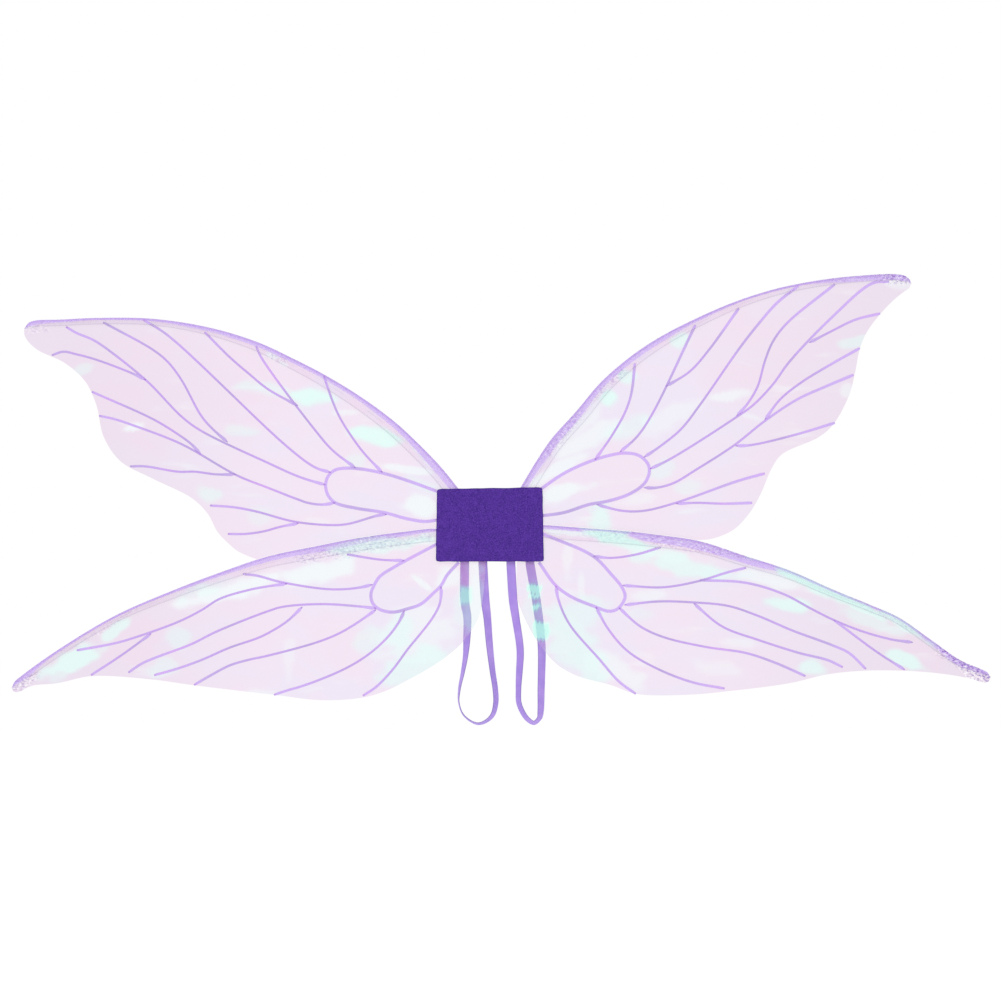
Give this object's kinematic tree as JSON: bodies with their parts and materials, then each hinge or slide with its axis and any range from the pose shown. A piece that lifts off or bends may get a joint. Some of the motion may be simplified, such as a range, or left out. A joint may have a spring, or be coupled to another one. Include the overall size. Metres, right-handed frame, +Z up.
{
  "type": "fairy wings",
  "caption": "Wearable butterfly-style wings: clear printed film on bent wires, fixed in a felt back patch with elastic arm loops.",
  "frame": {"origin": "centre of the back patch's rear face, which rests on the wearer", "axes": "+Z up, +X towards the right-hand wing as seen from behind the wearer, +Y out of the rear face towards the wearer"},
  "size_m": [1.101, 0.0146, 0.5083],
  "materials": {
    "felt": "dense felt",
    "board": "plain stiff board",
    "glue": "set hot glue",
    "thread": "sewing thread",
    "elastic": "woven elastic",
    "wire": "drawn steel wire",
    "film": "clear iridescent film with printed veins"
  },
  "bodies": {
    "centre": {"front_cover": "felt", "rear_cover": "felt", "core_board": "board", "front_cover_glue": "glue", "rear_cover_glue": "glue", "wire_glue_pads": "glue", "strap_tacks": "thread", "strap_ends_left": "elastic", "strap_ends_right": "elastic", "wire_root_upper_left": "wire", "wire_root_lower_left": "wire", "wire_root_upper_right": "wire", "wire_root_lower_right": "wire", "film_root_upper_left": "film", "film_root_lower_left": "film", "film_root_upper_right": "film", "film_root_lower_right": "film"},
    "upper_left_wing": {"wire_upper_left": "wire", "film_upper_left": "film"},
    "lower_left_wing": {"wire_lower_left": "wire", "film_lower_left": "film"},
    "upper_right_wing": {"wire_upper_right": "wire", "film_upper_right": "film"},
    "lower_right_wing": {"wire_lower_right": "wire", "film_lower_right": "film"},
    "left_strap": {"strap_loop_left": "elastic"},
    "right_strap": {"strap_loop_right": "elastic"}
  },
  "joints": [
    {"name": "upper_left_fold", "type": "hinge", "parent": "centre", "child": "upper_left_wing", "pos_m": [-0.063, -0.0052, 0], "axis": [0, 0, 1], "range_deg": [-30, 90]},
    {"name": "lower_left_fold", "type": "hinge", "parent": "centre", "child": "lower_left_wing", "pos_m": [-0.063, -0.0052, 0], "axis": [0, 0, 1], "range_deg": [-30, 90]},
    {"name": "upper_right_fold", "type": "hinge", "parent": "centre", "child": "upper_right_wing", "pos_m": [0.063, -0.0052, 0], "axis": [0, 0, -1], "range_deg": [-30, 90]},
    {"name": "lower_right_fold", "type": "hinge", "parent": "centre", "child": "lower_right_wing", "pos_m": [0.063, -0.0052, 0], "axis": [0, 0, -1], "range_deg": [-30, 90]},
    {"name": "left_strap_swing", "type": "hinge", "parent": "centre", "child": "left_strap", "pos_m": [-0.018, -0.002, -0.0432], "axis": [1, 0, 0], "range_deg": [0, 120]},
    {"name": "right_strap_swing", "type": "hinge", "parent": "centre", "child": "right_strap", "pos_m": [0.034, -0.002, -0.0432], "axis": [1, 0, 0], "range_deg": [0, 120]}
  ]
}
